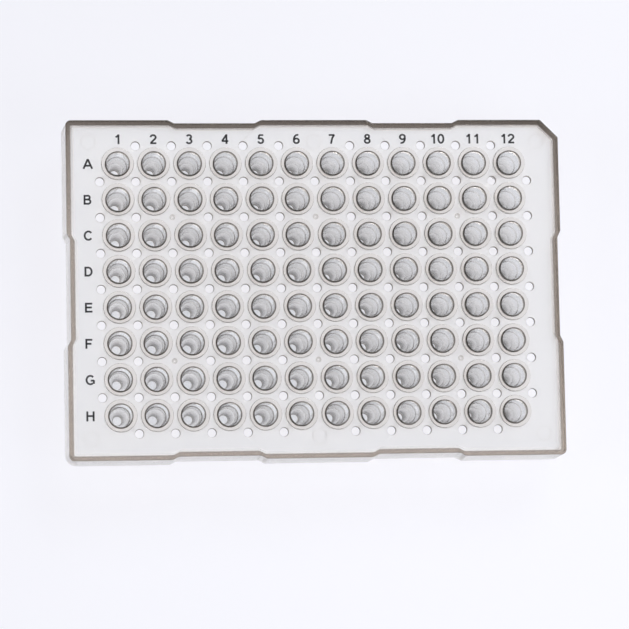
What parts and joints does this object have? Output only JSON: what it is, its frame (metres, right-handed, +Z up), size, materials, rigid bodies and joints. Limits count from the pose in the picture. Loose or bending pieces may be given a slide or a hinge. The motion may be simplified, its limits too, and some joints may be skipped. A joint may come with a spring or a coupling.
{
  "type": "well plate",
  "caption": "Shallow rectangular plate with a half-height skirt, whose deck carries a grid of open, raised-rim conical wells for small liquid samples in a heating block or rack.",
  "frame": {"origin": "under the middle of the plate, on the surface that the tips of its wells stand on", "axes": "+X along a row of wells, from column 1 to column 12; +Y along a column, from row H to row A; +Z up, out of the wells' mouths"},
  "size_m": [0.1262, 0.0866, 0.0209],
  "materials": {
    "plastic": "natural translucent polypropylene, smooth satin gloss",
    "print": "flat black pad-printed ink"
  },
  "bodies": {
    "root": {"well_plate": "plastic"}
  },
  "joints": []
}
